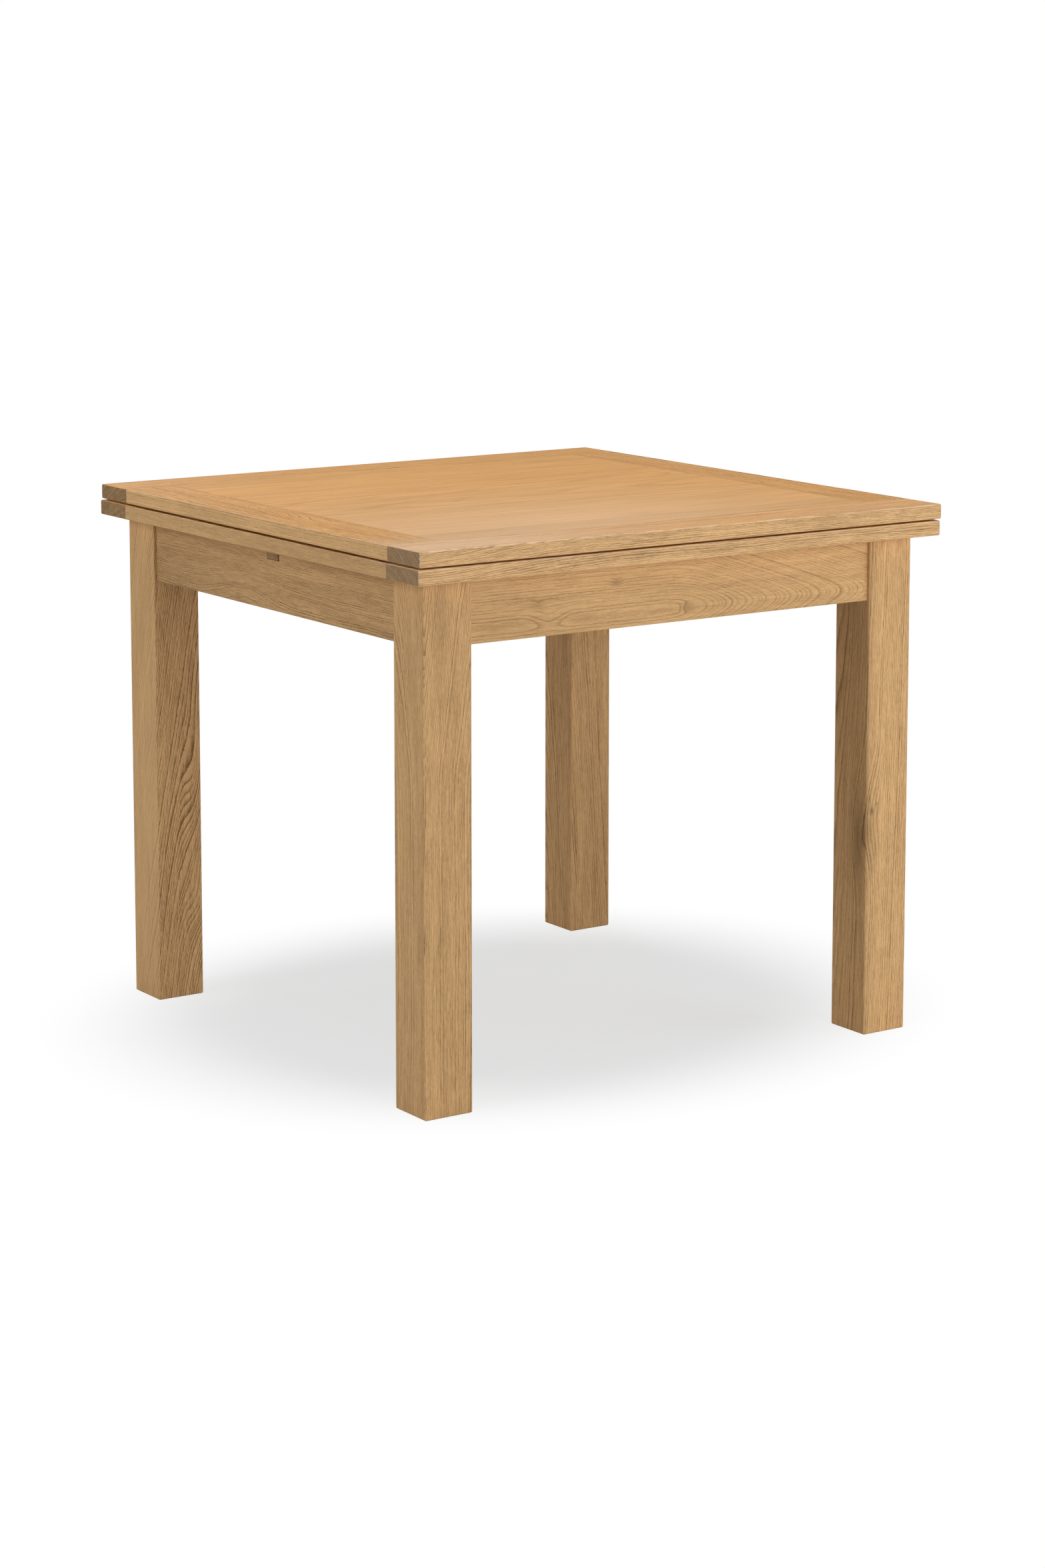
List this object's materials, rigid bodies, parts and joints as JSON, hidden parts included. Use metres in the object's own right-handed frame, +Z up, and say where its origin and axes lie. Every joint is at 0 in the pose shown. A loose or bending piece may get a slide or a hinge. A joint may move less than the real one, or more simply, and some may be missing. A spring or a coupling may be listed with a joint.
{
  "type": "flip-top extending table",
  "caption": "Square oak table with stacked twin leaves: the top slides sideways on a dovetail runner, then the upper leaf folds over on butt hinges to double the surface.",
  "frame": {"origin": "on the floor under the middle of the closed top", "axes": "+X to the right along the front edge, towards the hinged edge; +Y to the back; +Z up"},
  "size_m": [0.9032, 0.9, 0.7863],
  "materials": {
    "oak_top": "satin lacquer",
    "oak_frame": "satin lacquer",
    "oak_inner": "bare planed oak",
    "brass": "brushed brass",
    "steel": "zinc plated",
    "felt": "brown felt"
  },
  "bodies": {
    "frame": {"leg_front_left": "oak_frame", "leg_front_right": "oak_frame", "leg_back_left": "oak_frame", "leg_back_right": "oak_frame", "apron_front": "oak_frame", "apron_back": "oak_frame", "apron_left": "oak_frame", "apron_right": "oak_frame", "bearer_left": "oak_inner", "bearer_middle": "oak_inner", "corner_block_front_left": "oak_inner", "corner_block_front_right": "oak_inner", "corner_block_back_left": "oak_inner", "corner_block_back_right": "oak_inner", "leg_bolts": "steel", "leg_bolt_washers": "steel", "leg_inserts": "steel", "corner_block_screws": "steel", "stop_pin": "steel"},
    "lower_leaf": {"lower_leaf_front_stile": "oak_top", "lower_leaf_back_stile": "oak_top", "lower_leaf_left_rail": "oak_top", "lower_leaf_right_rail": "oak_top", "lower_leaf_panel": "oak_top", "slide_runner": "oak_inner", "runner_screws": "steel", "hinge_front_lower_plate": "brass", "hinge_middle_lower_plate": "brass", "hinge_back_lower_plate": "brass", "hinge_pins": "brass", "hinge_lower_screws": "brass", "spacer_pads": "felt"},
    "flip_leaf": {"flip_leaf_front_stile": "oak_top", "flip_leaf_back_stile": "oak_top", "flip_leaf_left_rail": "oak_top", "flip_leaf_right_rail": "oak_top", "flip_leaf_panel": "oak_top", "hinge_front_flip_plate": "brass", "hinge_middle_flip_plate": "brass", "hinge_back_flip_plate": "brass", "hinge_flip_screws": "brass"}
  },
  "joints": [
    {"name": "top_slide", "type": "slide", "parent": "frame", "child": "lower_leaf", "axis": [-1, 0, 0], "range_m": [0, 0.45]},
    {"name": "leaf_flip", "type": "hinge", "parent": "lower_leaf", "child": "flip_leaf", "pos_m": [0.44965, 0, 0.7633], "axis": [0, 1, 0], "range_deg": [0, 180]}
  ]
}
